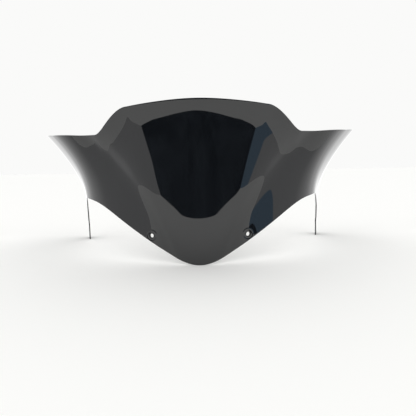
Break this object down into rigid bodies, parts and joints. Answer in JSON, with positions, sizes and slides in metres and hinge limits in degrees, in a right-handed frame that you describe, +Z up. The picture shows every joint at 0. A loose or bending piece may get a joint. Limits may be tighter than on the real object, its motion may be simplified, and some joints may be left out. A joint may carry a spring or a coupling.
{
  "type": "windshield screen",
  "caption": "Black wrap-around windshield screen with a bubble centre, top lip, side wings and two clip legs.",
  "frame": {"origin": "middle of the base, on the surface that the nose and the two legs stand on", "axes": "+X to the right as seen from the front, +Y back from the nose towards the rider, +Z up"},
  "size_m": [0.7544, 0.3302, 0.3105],
  "materials": {
    "screen": "polished black moulded polycarbonate",
    "rubber": "matt black rubber"
  },
  "bodies": {
    "root": {"screen": "screen", "grommet_left": "rubber", "grommet_right": "rubber"}
  },
  "joints": []
}
